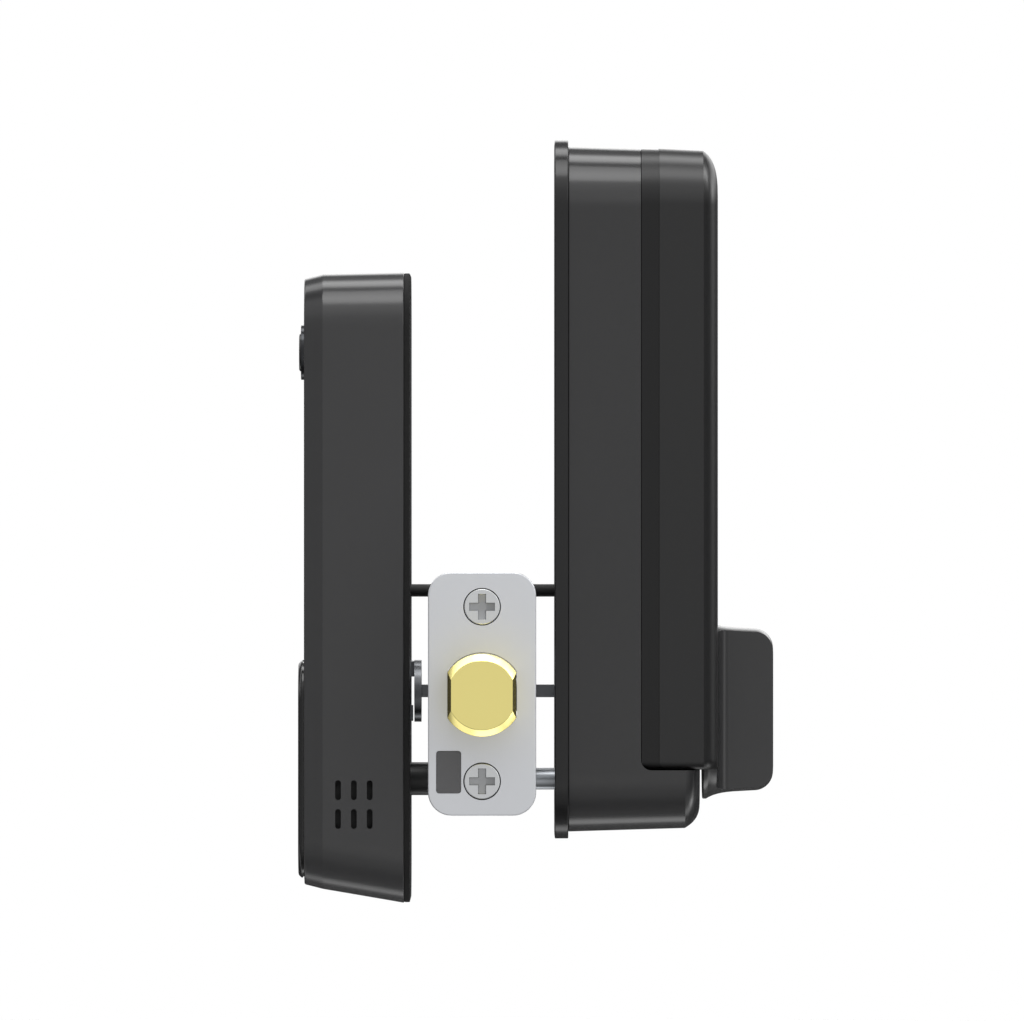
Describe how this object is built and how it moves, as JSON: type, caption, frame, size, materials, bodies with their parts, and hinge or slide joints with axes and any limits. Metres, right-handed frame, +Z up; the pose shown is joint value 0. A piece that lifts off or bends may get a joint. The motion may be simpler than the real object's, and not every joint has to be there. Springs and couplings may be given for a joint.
{
  "type": "keypad smart lock",
  "caption": "Keypad deadbolt for a door: touch keypad unit outside, motor unit with battery lid and thumb turn inside, and an edge latch with a sliding bolt.",
  "frame": {"origin": "on the spindle's axis, in the plane of the door's outside face", "axes": "+Y through the door to the inside, +X towards the door's edge where the bolt comes out, +Z up"},
  "size_m": [0.1213, 0.1133, 0.1812],
  "materials": {
    "black_casing": "fine-texture black powder coat on die-cast zinc",
    "black_moulding": "fine-textured black ABS",
    "black_satin": "satin black polycarbonate",
    "touch_glass": "black back-printed acrylic with a hard coat",
    "diffuser": "milky polycarbonate",
    "seal_foam": "closed-cell EPDM foam",
    "zinc_steel": "bright zinc-plated steel",
    "satin_nickel": "satin nickel plate",
    "sensor_grey": "smoked polycarbonate",
    "brass": "fine-milled bright brass",
    "bronze": "oil-filled sintered bronze",
    "hard_steel": "ground hardened steel",
    "board_green": "solder mask on glass fibre board",
    "sounder": "black moulded sounder",
    "ring_metal": "dark chrome plate",
    "sensor_cap": "black ceramic-coated sensor cap",
    "gear_nylon": "natural acetal",
    "cell_wrap": "printed film wrap, plain",
    "spring_nickel": "nickel-plated spring steel",
    "lead_sheath": "PVC sheath"
  },
  "bodies": {
    "casings": {"exterior_housing": "black_casing", "interior_housing": "black_casing", "battery_tray": "black_moulding", "interior_base_frame": "black_moulding", "touch_panel": "touch_glass", "light_guide": "diffuser", "exterior_gasket": "seal_foam", "exterior_backplate": "zinc_steel", "interior_plate": "zinc_steel", "exterior_screws": "zinc_steel", "housing_screws": "zinc_steel", "through_bolts": "zinc_steel", "gearbox_plate": "zinc_steel", "latch_case": "zinc_steel", "latch_tube": "zinc_steel", "emergency_port": "zinc_steel", "gear_motor": "zinc_steel", "faceplate": "satin_nickel", "faceplate_screws": "satin_nickel", "sensor_window": "sensor_grey", "key_cylinder": "brass", "turn_bushes": "bronze", "idler_axle": "hard_steel", "exterior_board": "board_green", "interior_board": "board_green", "speaker": "sounder", "button_switch": "sounder", "button_bezel": "ring_metal", "harness_plugs": "gear_nylon", "battery_cells": "cell_wrap", "battery_contacts": "spring_nickel", "harness_lead": "lead_sheath"},
    "knob": {"thumb_turn": "black_satin", "turn_shaft": "hard_steel", "turn_gear": "gear_nylon", "shaft_clip": "hard_steel"},
    "spindle": {"spindle": "hard_steel", "latch_hub": "hard_steel", "hub_gear": "gear_nylon"},
    "idler": {"idler_gear": "gear_nylon"},
    "motor_rotor": {"motor_pinion": "hard_steel", "motor_shaft": "hard_steel"},
    "bolt": {"bolt": "brass", "bolt_core": "hard_steel", "bolt_tail": "zinc_steel"},
    "key_plug": {"key_plug": "brass", "plug_cam": "hard_steel"},
    "key_cover": {"key_cover": "black_casing", "cover_pin": "hard_steel", "cover_clip": "hard_steel"},
    "fingerprint_button": {"fingerprint_button": "sensor_cap"},
    "setup_button": {"setup_button": "black_satin"},
    "battery_lid": {"battery_lid": "black_moulding"}
  },
  "joints": [
    {"name": "thumb_turn", "type": "hinge", "parent": "casings", "child": "knob", "pos_m": [0, 0.0595, -0.00445], "axis": [0, -1, 0], "range_deg": [0, 90]},
    {"name": "spindle_turn", "type": "hinge", "parent": "casings", "child": "spindle", "pos_m": [0, 0.02, 0], "axis": [0, -1, 0], "range_deg": [0, 90]},
    {"name": "idler_turn", "type": "hinge", "parent": "casings", "child": "idler", "pos_m": [-0.01988, 0.042, -0.00222], "axis": [0, -1, 0], "range_deg": [-90, 0]},
    {"name": "motor_turn", "type": "hinge", "parent": "casings", "child": "motor_rotor", "pos_m": [0.01061, 0.04, -0.01061], "axis": [0, -1, 0], "range_deg": [-180, 0]},
    {"name": "bolt_slide", "type": "slide", "parent": "casings", "child": "bolt", "axis": [1, 0, 0], "range_m": [-0.0254, 0]},
    {"name": "key_turn", "type": "hinge", "parent": "casings", "child": "key_plug", "pos_m": [0, -0.015, 0], "axis": [0, -1, 0], "range_deg": [0, 90]},
    {"name": "cover_swing", "type": "hinge", "parent": "casings", "child": "key_cover", "pos_m": [0, -0.025, -0.038], "axis": [0, -1, 0], "range_deg": [0, 100]},
    {"name": "fingerprint_press", "type": "slide", "parent": "casings", "child": "fingerprint_button", "axis": [0, 1, 0], "range_m": [0, 0.0004], "stiffness_N_per_m": 1500, "springref_m": -0.0003},
    {"name": "setup_press", "type": "slide", "parent": "casings", "child": "setup_button", "axis": [0, -1, 0], "range_m": [0, 0.0004], "stiffness_N_per_m": 1500, "springref_m": -0.0003},
    {"name": "lid_lift", "type": "slide", "parent": "casings", "child": "battery_lid", "axis": [0, 0, 1], "range_m": [0, 0.025]}
  ],
  "couplings": [
    {"joint": "idler_turn", "follows": "thumb_turn", "ratio": -1},
    {"joint": "spindle_turn", "follows": "thumb_turn", "ratio": 1},
    {"joint": "motor_turn", "follows": "thumb_turn", "ratio": -2},
    {"joint": "bolt_slide", "follows": "thumb_turn", "m_per_rad": -0.01617}
  ]
}
